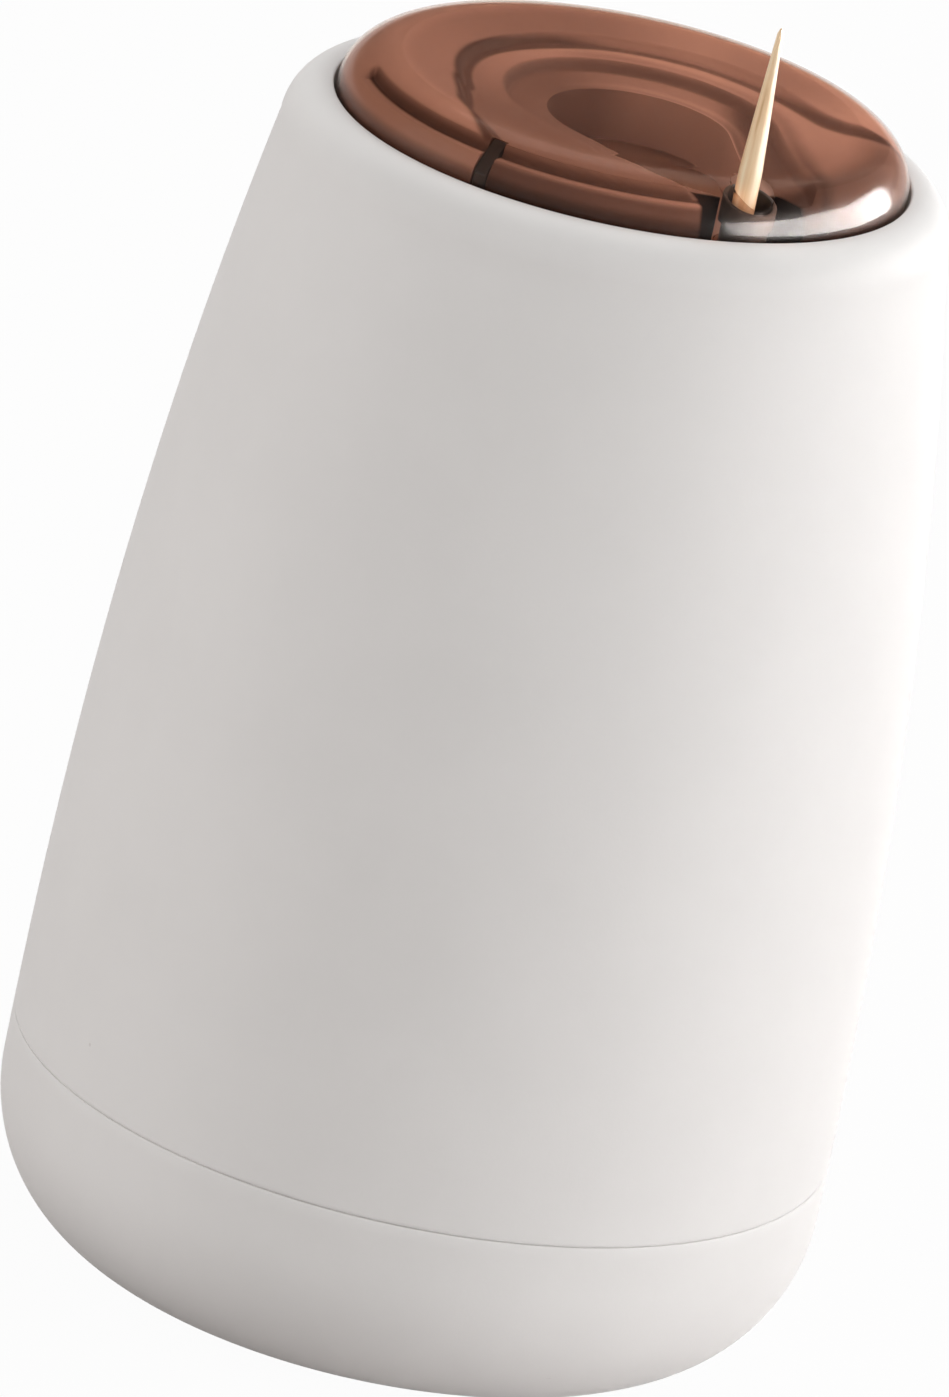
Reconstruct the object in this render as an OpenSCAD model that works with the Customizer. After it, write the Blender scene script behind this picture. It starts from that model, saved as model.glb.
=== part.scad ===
// Press-to-pop toothpick holder. The lid and the barrel go down together against a spring, and a
// fixed pin pushes one toothpick up through the hole in the lid. Millimetres, +Z up, the origin on
// the table under the middle of the body. -Y is the front.

/* [Body] */
// Widest diameter of the body
body_d = 68; // [66:0.5:76]
// Height of the rim above the table
body_h = 100; // [94:1:115]
// Thickness of the outer shell
wall = 2.4; // [1.8:0.1:2.8]
// Height of the seam between base and shell
seam_h = 17.5; // [15:0.5:24]
// Width of the rounded corner at the base
corner_w = 11.5; // [9:0.5:13]
// Height of the rounded corner at the base
corner_h = 13; // [10:0.5:14]
// How fast the side draws in towards the rim
side_power = 2.2; // [1.8:0.1:3]
// Width of the rounding at the rim
rim_round_w = 3.4; // [2.6:0.1:4]
// Height of the rounding at the rim
rim_round_h = 3.7; // [2.5:0.1:5]
// Width and depth of the bevels that show the seam
seam_bevel = 0.3; // [0.2:0.05:0.6]

/* [Lid] */
// How far the body draws in from its widest place to the mouth that the lid sits in
side_draw = 10.4; // [9.5:0.1:12]
// Gap between the lid and the mouth, all round
lid_gap = 0.35; // [0.3:0.05:0.6]
// How far the lid rises above the rim
lid_rise = 4.2; // [3.6:0.1:6]
// Width of the rounding at the lid's edge
lid_round_w = 5; // [3:0.25:6]
// Thickness of the lid
lid_wall = 1; // [0.8:0.1:1.6]
// How far the lid's skirt goes down below the rim
lid_skirt = 3; // [2:0.25:5]

/* [Toothpick] */
// Diameter of a toothpick
pick_d = 1.9; // [1.6:0.05:2.2]
// Length of a toothpick
pick_l = 65; // [60:0.5:68]
// Diameter of its tip
pick_tip_d = 0.4; // [0.2:0.05:0.8]
// Length of each tapered end
pick_taper = 12; // [8:0.5:20]
// How far a raised toothpick stands above the lid
pick_rise = 12.6; // [9:0.2:16]
// Distance of the hole's middle from the lid's edge
hole_inset = 2.75; // [2.7:0.05:3.6]
// Direction of the hole, counted from +X
hole_angle = -58; // [-80:1:-40]
// Width of the countersink round the hole
sink_d = 4.6; // [4:0.1:4.8]
// How deep the bush's collar goes below the top of the lid
collar_depth = 2.6; // [2.4:0.1:3]
// Thickness of the bush's wall
bush_wall = 0.9; // [0.6:0.05:1]

/* [Barrel] */
// Thickness of the barrel's walls
barrel_wall = 1.4; // [1:0.1:1.8]
// How far the round end of the chamber and of the levels above it is set to the right
chamber_shift = 1; // [0:0.25:2]
// How far the chamber reaches in under the opening above it
chamber_lip = 1.9; // [1:0.1:2]
// Thickness of the barrel's floor
floor_t = 2.3; // [1.5:0.1:3]
// How far the barrel's wall goes down below its floor
barrel_foot = 3; // [2:0.25:5]

/* [Mechanism] */
// Thickness of the guide sleeve's wall
sleeve_wall = 1.2; // [1:0.1:1.4]
// Diameter of the spring's wire
wire_d = 1.2; // [0.8:0.1:1.4]
// Diameter of the spring, measured through its wire
spring_d = 22; // [18:0.5:23]
// Number of turns in the spring
spring_turns = 6; // [4:1:7]
// Diameter of the ejector pin
pin_d = 1.5; // [1.2:0.05:1.7]
// Thickness of the spring's seat
seat_t = 0.8; // [0.5:0.1:1.2]
// Number of base screws
screw_count = 3; // [2:1:4]
// Diameter of a base screw's shank
screw_d = 2.2; // [1.6:0.1:2.6]
// How far the posts rise above the ends of the screws
post_over = 3; // [2:0.25:4]

/* [Foot] */
// How far the rubber ring stands out below the base
foot_proud = 0.8; // [0.5:0.1:1.5]
// Depth of the groove that holds the ring
foot_groove = 1; // [0.6:0.1:1.4]
// How far the middle of the ring is set in from the body's widest place
foot_inset = 14; // [13.5:0.25:16]
// Width of the ring
foot_w = 5.4; // [4.6:0.2:6]

/* [Hidden] */
$fn = 96;

// Clearances and the overrun of cuts
slide_gap = 0.3;
seat_gap = 0.1;
grip_gap = 0.05;
over = 1;

// Outer surface
body_r = body_d / 2;
mouth_r = body_r - side_draw;
rim_flat = 0.3;
rim_crown_r = mouth_r + rim_flat;
side_top_r = rim_crown_r + rim_round_w;
side_top_z = body_h - rim_round_h;
corner_r = body_r - corner_w;
side_steps = 18;
round_steps = 10;

// Base, from the table up
base_z = foot_proud;
base_floor_t = 3.6;
base_floor_z = base_z + base_floor_t;
spigot_h = 4;
spigot_wall = 1.4;
foot_r = body_r - foot_inset;
foot_in_r = foot_r - foot_w / 2;
foot_out_r = foot_r + foot_w / 2;
foot_bevel = 0.4;

// Barrel, lid and mouth
lid_r = mouth_r - lid_gap;
lid_seat_z = body_h - lid_skirt;
lid_top_z = body_h + lid_rise;
lid_under_z = lid_top_z - lid_wall;
lid_flat_r = lid_r - lid_round_w;
neck_r = lid_r;
mouth_h = 8.5;
mouth_under_z = body_h - mouth_h;
stop_t = 0.9;
stop_w = 0.75;
shoulder_z = mouth_under_z - stop_t - slide_gap;
sleeve_bore_r = mouth_r + stop_w + grip_gap;
barrel_r = sleeve_bore_r - slide_gap;
sleeve_r = sleeve_bore_r + sleeve_wall;
deck_t = 2;

// Screws and the posts that they go into
screw_reach = foot_r;
screw_r = screw_d / 2;
screw_head_share = 1.9;
screw_head_r = screw_r * screw_head_share;
screw_head_t = 1.4;
cross_l_share = 1.2;
cross_w_share = 0.3;
cross_depth_share = 0.5;
screw_l = 8;
screw_angle = 3;
head_z = base_z + foot_groove + screw_head_t;
post_r = 2.5;
post_top_z = head_z + screw_l + post_over;

// Toothpick, hole and pin. The travel uses the room that is left between posts and toothpick
hole_reach = lid_r - hole_inset;
hole_x = hole_reach * cos(hole_angle);
hole_y = hole_reach * sin(hole_angle);
pick_r = pick_d / 2;
pick_top_z = lid_top_z + pick_rise;
pick_z = pick_top_z - pick_l;
press_travel = (pick_z - floor_t - barrel_foot - slide_gap - post_top_z) / 2;
pin_r = pin_d / 2;
pin_top_z = pick_z - press_travel - slide_gap;
floor_top_z = pin_top_z + slide_gap;
floor_z = floor_top_z - floor_t;
barrel_z = floor_z - barrel_foot;
pocket_r = pick_r + slide_gap;
pin_bore_r = pin_r + slide_gap;
bush_r = pick_r + grip_gap + bush_wall;
boss_share = 0.8;
boss_r = bush_r + bush_wall * boss_share;
collar_z = lid_top_z - collar_depth;
collar_lip = 0.35;
collar_sunk = 0.2;
catch_angle = -117;

// Sleeve floor and what stands on it
sleeve_floor_t = 2;
sleeve_floor_z = base_floor_z + sleeve_floor_t;
pin_foot_z = base_floor_z + sleeve_floor_t / 2;
spring_z = sleeve_floor_z + seat_t;
spring_top_z = floor_z;
wire_r = wire_d / 2;
coil_r = spring_d / 2;
hub_wall = 1.4;
hub_r = coil_r - wire_r - slide_gap;
hub_h = 3;
key_w = 2;
key_depth = 0.75;
key_l = 24;

// Guide plate under the lid
plate_low_t = 1.4;
field_step = 0.6;
ring_step = 0.8;
plate_r = lid_r - lid_wall - slide_gap;
plate_bottom_z = lid_seat_z;
plate_top_z = lid_under_z - slide_gap;
ledge_w = 2;
ledge_step = 1.3;
ledge_r = plate_r - ledge_w;
ledge_z = plate_top_z - ledge_step;
ledge_start_angle = 187;
ledge_angle = 102;
pocket_angle = 23;
field_z = plate_top_z - field_step;
ring_z = field_z - ring_step;
plate_low_z = plate_bottom_z + plate_low_t;
bush_z = plate_low_z + slide_gap;
terrace_w = 7.55;
ring_w = 3.4;
well_w = 3.5;
funnel_w = 4.15;
terrace_r = plate_r - terrace_w;
ring_r = terrace_r - ring_w;
well_r = ring_r - well_w;
chamber_r = well_r + chamber_lip;
funnel_r = pocket_r + funnel_w;

// Helpers
function side_share(z) = (z - corner_h) / (side_top_z - corner_h);
function side_r(z) = z <= corner_h ? body_r
    : body_r - (body_r - side_top_r) * pow(side_share(z), side_power);
function corner_out_r(z) = corner_r + corner_w * sqrt(1 - pow((corner_h - z) / corner_h, 2));
function out_r(z) = z < corner_h ? corner_out_r(z) : side_r(z);
function in_corner_r(z) = corner_r + (corner_w - wall)
    * sqrt(max(0, 1 - pow((corner_h - z) / (corner_h - base_z - wall), 2)));
function in_r(z) = z < corner_h ? in_corner_r(z) : max(side_r(z) - wall, sleeve_r + slide_gap);
function steps(from, to, count) = [for (i = [0:count]) from + (to - from) * i / count];

// A quarter of an ellipse from its widest point up to its crown, as points
function crown(centre_r, centre_z, w, h) =
    [for (i = [0:round_steps]) let (a = 90 * i / round_steps) [centre_r + w * cos(a), centre_z + h * sin(a)]];

// Two circles and the straight sides between them: the outline of the chamber and its funnel. The
// sides run a hair inside the circles, so that they cross them cleanly
module comma(big_r, small_r) {
    side_share = 0.985;
    dx = hole_x - chamber_shift;
    reach = norm([dx, hole_y]);
    heading = atan2(hole_y, dx);
    lean = acos((big_r - small_r) / reach);
    translate([chamber_shift, 0]) circle(r = big_r);
    translate([hole_x, hole_y]) circle(r = small_r);
    left = side_share * [cos(heading - lean), sin(heading - lean)];
    right = side_share * [cos(heading + lean), sin(heading + lean)];
    polygon([[chamber_shift, 0] + big_r * right, [hole_x, hole_y] + small_r * right,
             [hole_x, hole_y] + small_r * left, [chamber_shift, 0] + big_r * left]);
}

module ring(inner_r, outer_r, from_z, to_z) {
    translate([0, 0, from_z])
        difference() {
            cylinder(r = outer_r, h = to_z - from_z);
            translate([0, 0, -over]) cylinder(r = inner_r, h = to_z - from_z + 2 * over);
        }
}

module disc(r, from_z, to_z) {
    translate([0, 0, from_z]) cylinder(r = r, h = to_z - from_z);
}

// What is drawn stands on the axis of the hole
module at_hole() {
    translate([hole_x, hole_y, 0]) children();
}

module at_screws() {
    for (i = [0:screw_count - 1])
        rotate([0, 0, screw_angle + i * 360 / screw_count]) translate([screw_reach, 0, 0]) children();
}

// Outer pieces
module body_shell() {
    color("whitesmoke")
        rotate_extrude()
            polygon(concat(
                [[in_r(seam_h), seam_h], [out_r(seam_h) - seam_bevel, seam_h]],
                [for (z = steps(seam_h + seam_bevel, side_top_z, side_steps)) [out_r(z), z]],
                crown(rim_crown_r, side_top_z, rim_round_w, rim_round_h),
                [[mouth_r, body_h - rim_flat], [mouth_r, mouth_under_z], [in_r(mouth_under_z), mouth_under_z]],
                [for (z = steps(mouth_under_z, seam_h, side_steps)) if (z < mouth_under_z && z > seam_h)
                    [in_r(z), z]]));
}

module base_cap() {
    spigot_r = in_r(seam_h + spigot_h) - seat_gap;
    color("whitesmoke")
        difference() {
            rotate_extrude()
                polygon(concat(
                    [[0, base_z], [out_r(base_z), base_z]],
                    [for (z = steps(base_z, seam_h - seam_bevel, side_steps)) if (z > base_z) [out_r(z), z]],
                    [[out_r(seam_h) - seam_bevel, seam_h], [spigot_r, seam_h],
                     [spigot_r, seam_h + spigot_h], [spigot_r - spigot_wall, seam_h + spigot_h],
                     [spigot_r - spigot_wall, corner_h]],
                    [for (z = steps(corner_h, base_floor_z, round_steps)) if (z < corner_h)
                        [min(in_r(z), spigot_r - spigot_wall), z]],
                    [[0, base_floor_z]]));
            ring(foot_in_r - grip_gap, foot_out_r + grip_gap, base_z - over, base_z + foot_groove);
            at_screws() {
                disc(screw_head_r + seat_gap, base_z, head_z);
                disc(screw_r + seat_gap, base_z, base_floor_z + over);
            }
        }
}

module foot_ring() {
    color("dimgray")
        rotate_extrude()
            polygon([[foot_in_r + foot_bevel, 0], [foot_out_r - foot_bevel, 0], [foot_out_r, foot_bevel],
                     [foot_out_r, base_z + foot_groove - grip_gap], [foot_in_r, base_z + foot_groove - grip_gap],
                     [foot_in_r, foot_bevel]]);
}

module base_screws() {
    color("silver")
        at_screws()
            difference() {
                union() {
                    disc(screw_head_r, head_z - screw_head_t, head_z);
                    disc(screw_r, head_z - screw_head_t, head_z + screw_l);
                }
                translate([0, 0, head_z - screw_head_t - over])
                    linear_extrude(over + screw_head_t * cross_depth_share)
                        for (turn = [0, 90])
                            rotate(turn)
                                square(screw_head_r * [cross_l_share, cross_w_share], center = true);
            }
}

// Fixed inner pieces
module guide_sleeve() {
    color("gainsboro")
        difference() {
            union() {
                ring(sleeve_bore_r, sleeve_r, base_floor_z, mouth_under_z);
                disc(sleeve_r, base_floor_z, sleeve_floor_z);
                at_screws() disc(post_r, base_floor_z, post_top_z);
                at_hole() disc(post_r, base_floor_z, post_top_z);
                ring(hub_r - hub_wall, hub_r, base_floor_z, spring_z + hub_h);
            }
            at_screws() disc(screw_r + grip_gap, base_floor_z - over, head_z + screw_l + grip_gap);
            at_hole() disc(pin_r + grip_gap, pin_foot_z, post_top_z + over);
            rotate([0, 0, 90])
                translate([sleeve_bore_r - over, -key_w / 2 - slide_gap, sleeve_floor_z])
                    cube([key_depth + over, key_w + 2 * slide_gap, body_h]);
        }
}

module stop_ring() {
    color("black") ring(mouth_r, mouth_r + stop_w, mouth_under_z - stop_t, mouth_under_z);
}

module spring_seat() {
    color("silver") ring(hub_r + slide_gap, coil_r + wire_r + seat_gap, sleeve_floor_z, spring_z);
}

module ejector_pin() {
    dome = pin_r / 2;
    color("silver")
        at_hole() {
            disc(pin_r, pin_foot_z, pin_top_z - dome);
            translate([0, 0, pin_top_z - dome]) cylinder(r1 = pin_r, r2 = pin_r - dome, h = dome);
        }
}

// The spring is one tube: its first and last turns lie close, the turns between them are even
ring_count = 14;
tube_sides = 8;
close_gap = 0.6;
close_pitch = wire_d + close_gap;
spring_low = spring_z + wire_r + grip_gap;
spring_high = spring_top_z - wire_r - grip_gap;
function coil_z(t) = t < 1 ? spring_low + close_pitch * t
    : t > spring_turns - 1 ? spring_high - close_pitch * (spring_turns - t)
    : spring_low + close_pitch
        + (t - 1) * (spring_high - spring_low - 2 * close_pitch) / (spring_turns - 2);
function coil_point(t) = [coil_r * cos(360 * t), coil_r * sin(360 * t), coil_z(t)];
coil_path = [for (i = [0:spring_turns * ring_count]) coil_point(i / ring_count)];
coil_gap = min([for (i = [0:len(coil_path) - 1 - ring_count])
    norm(coil_path[i + ring_count] - coil_path[i])]) - wire_d;
echo(coil_gap = coil_gap);

module return_spring() {
    last = len(coil_path) - 1;
    rings = [for (i = [0:last]) for (k = [0:tube_sides - 1])
        let (turn = 360 * i / ring_count, a = 360 * k / tube_sides)
        coil_path[i] + wire_r * [cos(a) * cos(turn), cos(a) * sin(turn), sin(a)]];
    sides = [for (i = [0:last - 1]) for (k = [0:tube_sides - 1])
        let (a = i * tube_sides + k, b = i * tube_sides + (k + 1) % tube_sides)
        each [[a, b, b + tube_sides], [a, b + tube_sides, a + tube_sides]]];
    start_cap = [for (k = [1:tube_sides - 2]) [0, k + 1, k]];
    end_first = last * tube_sides;
    end_cap = [for (k = [1:tube_sides - 2]) [end_first, end_first + k, end_first + k + 1]];
    color("silver") polyhedron(points = rings, faces = concat(sides, start_cap, end_cap));
}

// Pieces that go down with the lid
module toothpick_barrel() {
    color("saddlebrown")
        difference() {
            union() {
                ring(barrel_r - barrel_wall, barrel_r, barrel_z, shoulder_z);
                ring(neck_r - barrel_wall, neck_r, shoulder_z - barrel_wall, lid_seat_z);
                ring(neck_r - barrel_wall - grip_gap, barrel_r - grip_gap, shoulder_z - barrel_wall, shoulder_z);
                disc(neck_r, lid_seat_z - deck_t, lid_seat_z);
                intersection() {
                    translate([0, 0, floor_top_z])
                        linear_extrude(lid_seat_z - floor_top_z)
                            comma(chamber_r + barrel_wall, pocket_r + barrel_wall);
                    disc(neck_r, floor_top_z, lid_seat_z);
                }
                rotate([0, 0, 90])
                    translate([barrel_r - barrel_wall / 2, -key_w / 2, barrel_z])
                        cube([key_depth + barrel_wall / 2, key_w, key_l]);
            }
            translate([0, 0, floor_top_z - over])
                linear_extrude(lid_seat_z - floor_top_z + 2 * over) comma(chamber_r, pocket_r);
            catch_slot(seat_gap, lid_seat_z - deck_t / 2, lid_seat_z + over);
        }
}

module barrel_floor() {
    color("saddlebrown")
        difference() {
            union() {
                disc(barrel_r - barrel_wall - grip_gap, floor_z, floor_top_z);
                ring(hub_r - hub_wall, hub_r, floor_z - barrel_foot, floor_z);
            }
            at_hole() disc(pin_bore_r, floor_z - over, floor_top_z + over);
        }
}

// The part of the plate that lies lower than the horseshoe terrace: the round middle, and the
// front from the catch round to the right, past the hole
module lower_field() {
    translate([chamber_shift, 0]) circle(r = terrace_r);
    left_shares = [-0.97, 0.05];
    right_shares = [[0.6, 0.42], [0.7, 0.28], [0.81, 0.165], [1.01, 0.055], [1.14, 0.02]];
    front_shares = [[1.14, -1.08], [-0.42, -1.08]];
    polygon(concat([[chamber_shift, 0] + left_shares * terrace_r, [chamber_shift, 0]],
                   [for (s = right_shares) s * plate_r], [for (s = front_shares) s * plate_r]));
}

// A cut through the plate's edge over a turn about the axis
module edge_cut(start_angle, angle, inner_r, from_z) {
    rotate([0, 0, start_angle])
        translate([0, 0, from_z])
            rotate_extrude(angle = angle)
                polygon([[inner_r, 0], [plate_r + over, 0], [plate_r + over, plate_top_z],
                         [inner_r, plate_top_z]]);
}

module guide_plate() {
    color("sienna")
        difference() {
            rotate_extrude()
                polygon(concat([[0, plate_bottom_z], [plate_r, plate_bottom_z]],
                               crown(lid_flat_r, body_h, plate_r - lid_flat_r, plate_top_z - body_h),
                               [[0, plate_top_z]]));
            translate([0, 0, field_z]) linear_extrude(plate_top_z) lower_field();
            translate([0, 0, ring_z]) linear_extrude(plate_top_z) comma(ring_r, funnel_r);
            translate([0, 0, plate_bottom_z - over]) linear_extrude(plate_top_z) comma(well_r, pocket_r);
            edge_cut(ledge_start_angle, ledge_angle, ledge_r, ledge_z);
            edge_cut(ledge_start_angle + ledge_angle, pocket_angle, hole_reach - boss_r, plate_low_z);
            at_hole() disc(boss_r + slide_gap, plate_low_z, plate_top_z);
            catch_slot(seat_gap, plate_bottom_z - over, plate_top_z);
        }
}

// A slot along a radius at the catch, wider than the catch by the gap
catch_w = 1.2;
catch_skin = 0.85;
catch_in_r = ledge_r - slide_gap * 2;
catch_out_r = lid_r - catch_skin;
catch_top_z = ledge_z + grip_gap * 2;
module catch_slot(gap, from_z, to_z) {
    rotate([0, 0, catch_angle])
        translate([catch_in_r - gap, -catch_w / 2 - gap, from_z])
            cube([catch_out_r - catch_in_r + 2 * gap, catch_w + 2 * gap, to_z - from_z]);
}

module lid_catch() {
    color("black") catch_slot(0, lid_seat_z - deck_t / 2, catch_top_z);
}

// Everything inside the lid's outer surface
module lid_envelope() {
    rotate_extrude()
        polygon(concat([[0, lid_seat_z], [lid_r, lid_seat_z]],
                       crown(lid_flat_r, body_h, lid_round_w, lid_rise), [[0, lid_top_z]]));
}

module press_lid() {
    color([0.5, 0.28, 0.2, 0.6])
        difference() {
            union() {
                difference() {
                    lid_envelope();
                    rotate_extrude()
                        polygon(concat([[0, lid_seat_z - over], [lid_r - lid_wall, lid_seat_z - over]],
                                       crown(lid_flat_r, body_h, lid_round_w - lid_wall,
                                             lid_rise - lid_wall),
                                       [[0, lid_under_z]]));
                }
                intersection() {
                    at_hole() disc(boss_r, bush_z, lid_under_z + lid_wall / 2);
                    lid_envelope();
                }
            }
            at_hole() {
                disc(bush_r + grip_gap, lid_seat_z, lid_top_z + over);
                disc(sink_d / 2, collar_z, lid_top_z + over);
            }
            catch_slot(seat_gap, lid_seat_z - over, catch_top_z + seat_gap);
        }
}

module outlet_bush() {
    collar_r = sink_d / 2 - grip_gap;
    bore_r = pick_r + grip_gap;
    color("black")
        intersection() {
            at_hole()
                rotate_extrude()
                    polygon([[bore_r, bush_z], [bush_r, bush_z], [bush_r, collar_z], [collar_r, collar_z],
                             [collar_r, lid_top_z], [collar_r - collar_lip, lid_top_z], [bore_r, collar_z]]);
            translate([0, 0, -collar_sunk]) lid_envelope();
        }
}

module toothpick() {
    tip_r = pick_tip_d / 2;
    color("burlywood")
        at_hole()
            rotate_extrude()
                polygon([[0, pick_z], [tip_r, pick_z], [pick_r, pick_z + pick_taper],
                         [pick_r, pick_top_z - pick_taper], [tip_r, pick_top_z], [0, pick_top_z]]);
}

body_shell();
base_cap();
foot_ring();
base_screws();
guide_sleeve();
stop_ring();
spring_seat();
return_spring();
ejector_pin();
toothpick_barrel();
barrel_floor();
guide_plate();
lid_catch();
press_lid();
outlet_bush();
toothpick();
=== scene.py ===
"""Looks of a press-to-pop toothpick holder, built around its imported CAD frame. Metres, +Z up, -Y front."""
import math

import bmesh
import bpy
import numpy as np
from mathutils import Matrix, Vector


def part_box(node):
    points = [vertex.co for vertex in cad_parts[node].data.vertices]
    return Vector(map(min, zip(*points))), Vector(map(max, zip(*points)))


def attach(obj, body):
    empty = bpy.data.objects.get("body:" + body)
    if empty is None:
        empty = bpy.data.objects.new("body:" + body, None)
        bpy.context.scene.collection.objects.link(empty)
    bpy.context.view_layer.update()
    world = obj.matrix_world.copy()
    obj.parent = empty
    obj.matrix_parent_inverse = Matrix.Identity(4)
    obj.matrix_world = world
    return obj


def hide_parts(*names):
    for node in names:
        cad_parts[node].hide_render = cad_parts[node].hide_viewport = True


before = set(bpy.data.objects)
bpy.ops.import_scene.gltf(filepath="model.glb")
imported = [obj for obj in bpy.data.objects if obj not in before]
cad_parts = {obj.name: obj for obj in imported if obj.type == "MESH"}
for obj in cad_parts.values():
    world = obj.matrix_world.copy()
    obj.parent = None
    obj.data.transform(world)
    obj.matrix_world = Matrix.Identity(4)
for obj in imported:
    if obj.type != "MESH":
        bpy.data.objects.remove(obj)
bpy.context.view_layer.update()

MM = 0.001
TAU = 2 * math.pi

# Sizes that the frame gives
SHELL_LOW, SHELL_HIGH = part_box("body_shell")
LID_LOW, LID_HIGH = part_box("press_lid")
BUSH_LOW, BUSH_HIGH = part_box("outlet_bush")
PICK_LOW, PICK_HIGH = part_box("toothpick")
BARREL_LOW, BARREL_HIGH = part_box("toothpick_barrel")
CATCH_LOW, CATCH_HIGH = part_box("lid_catch")
FOOT_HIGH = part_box("foot_ring")[1]
BODY_R = SHELL_HIGH.x
RIM_Z = SHELL_HIGH.z
SEAM_Z = SHELL_LOW.z
BASE_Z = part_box("base_cap")[0].z
FLOOR_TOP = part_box("barrel_floor")[1].z
SLEEVE_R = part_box("guide_sleeve")[1].x
LID_TOP = LID_HIGH.z
LID_SEAT = LID_LOW.z
HOLE = Vector(((BUSH_LOW.x + BUSH_HIGH.x) / 2, (BUSH_LOW.y + BUSH_HIGH.y) / 2, 0))
PICK_R = (PICK_HIGH.x - PICK_LOW.x) / 2

# Sizes of the outer surface, as in the CAD source
CORNER_W, CORNER_H = 11.5 * MM, 13 * MM
SIDE_POWER = 2.2
RIM_FLAT, RIM_ROUND_W, RIM_ROUND_H = 0.55 * MM, 3.15 * MM, 3.7 * MM
MOUTH_GAP = 0.35 * MM
MOUTH_R = LID_HIGH.x + MOUTH_GAP
MOUTH_UNDER = RIM_Z - 8.5 * MM
LIP = 0.2 * MM
SHELL_WALL = 2.4 * MM
SLEEVE_GAP = 0.3 * MM
SEAM_EDGE = 0.22 * MM
EDGE_BEND = 0.3  # how far in the middle point of a rounded edge lies
SPIGOT_H, SPIGOT_WALL, SPIGOT_GAP = 4 * MM, 1.4 * MM, 0.1 * MM
BASE_FLOOR = 3.6 * MM
FOOT_RING = (FOOT_HIGH.x - 5.4 * MM, FOOT_HIGH.x)
AXIS_R = 0.2 * MM  # the least radius of a ring of points that a flat cap closes

# Sizes of the lid and of what shows through it
LID_GROWTH = 0.12 * MM
LID_R = LID_HIGH.x + LID_GROWTH
LID_WALL = 0.22 * MM
LID_GAP = 0.05 * MM
LID_ROUND_W = 5 * MM
LID_FLAT_R = LID_R - LID_ROUND_W
LID_RISE = LID_TOP - RIM_Z
OPENING_R = 1.85 * MM
OPENING_OUTWARD, OPENING_ASIDE = 0.35 * MM, -0.2 * MM
SHAFT_R, BOSS_R = 1.92 * MM, 2.3 * MM
COLLAR_R, COLLAR_Z = 2.23 * MM, LID_TOP - 3.8 * MM
COLLAR_TOP, COLLAR_SLOPE = 2.4 * MM, 0.27
PICK_SHIFT = -0.45 * MM
PLATE_R = LID_R - LID_WALL - LID_GAP
PLATE_TOP = LID_TOP - LID_WALL - LID_GAP
PLATE_LOW = LID_SEAT + 1.4 * MM
DISH, DISH_EDGE = 0.8 * MM, 7 * MM
FIELD_STEP = 0.7 * MM
RING_STEP, FUNNEL_DEPTH = 0.9 * MM, 0.3 * MM
LEDGE_R, LEDGE_Z = PLATE_R - 1.9 * MM, PLATE_TOP - 1.75 * MM
LEDGE_FROM, LEDGE_TO = 196.0, 289.0
LEDGE_EDGE = 0.3 * MM
POCKET_TO, POCKET_IN = 312.0, 1.3 * MM
TERRACE_R, RING_R, WELL_R = 14.8 * MM, 11.0 * MM, 7.5 * MM
CHAMBER_R = WELL_R + 1.9 * MM
POCKET_R = PICK_R + 0.3 * MM
FUNNEL_R = POCKET_R + 4.15 * MM
CHAMBER = Vector((1 * MM, 0, 0))
CATCH_ANGLE = math.radians(-117)
FIT_GAP = 0.1 * MM  # round what stands in a slot or a bore under the lid

# Painted light and shade on the insert, as shares of its brown: what a level, line or wall is painted, and the
# painted light it gains or the painted shade it loses towards a side
FIELD_LOSS, FIELD_LOSS_FRONT = 0.13, 0.4
RING_SHARE, RING_GAIN_FRONT, RING_LOSS_RIGHT = 0.43, 0.14, 0.36
WELL_SHARE = 0.42
WELL_WALL_SHARE, WELL_WALL_LOSS_LEFT = 0.75, 0.33
FIELD_LINE_LOSS, FIELD_LINE_LOSS_LEFT = 0.7, 0.06
RING_LINE_LOSS, RING_LINE_LOSS_SIDE = 0.58, 0.1
RIDGE_GAIN, SLOPE_LOSS = 0.22, 0.27
IN_FIELD_GAIN, RIGHT_GAIN = 0.2, 0.12
BACK_LOSS, BACK_LOSS_RIGHT, BACK_GAIN_IN_FIELD = 0.15, 0.13, 0.27
LEFT_LOSS, LEFT_GAIN_IN_FIELD = 0.38, 0.12
OUTER_LOSS_RIGHT = 0.5
LEDGE_SHARE, PANEL_LOSS = 1.7, 0.91
LEDGE_FOOT_LOSS, PANEL_FOOT_LOSS = 0.15, 0.35
LEDGE_LINE_LOSS, EDGE_LOSS, POCKET_LOSS = 0.76, 0.7, 0.85

# The camera, fitted to the outline of the body in the photograph
CAMERA_ELEVATION = 19.55
CAMERA_ROLL = 12.0
CAMERA_DISTANCE = 1.36
CAMERA_LENS = 432.2
CAMERA_TARGET = (-2.27 * MM, 0, 50.5 * MM)
CAMERA_SENSOR = 36

# The lamps' distance from the point that they face, and its height
LAMP_DISTANCE, LAMP_AIM_Z = 0.7, 55 * MM


# Mesh helpers

def add_mesh(name, verts, faces, sharp=35.0):
    """A mesh object with smooth faces and sharp edges past an angle in degrees."""
    mesh = bpy.data.meshes.new(name)
    mesh.from_pydata([tuple(v) for v in verts], [], [tuple(f) for f in faces])
    obj = bpy.data.objects.new(name, mesh)
    bpy.context.scene.collection.objects.link(obj)
    soften(obj, sharp)
    return obj


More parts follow.
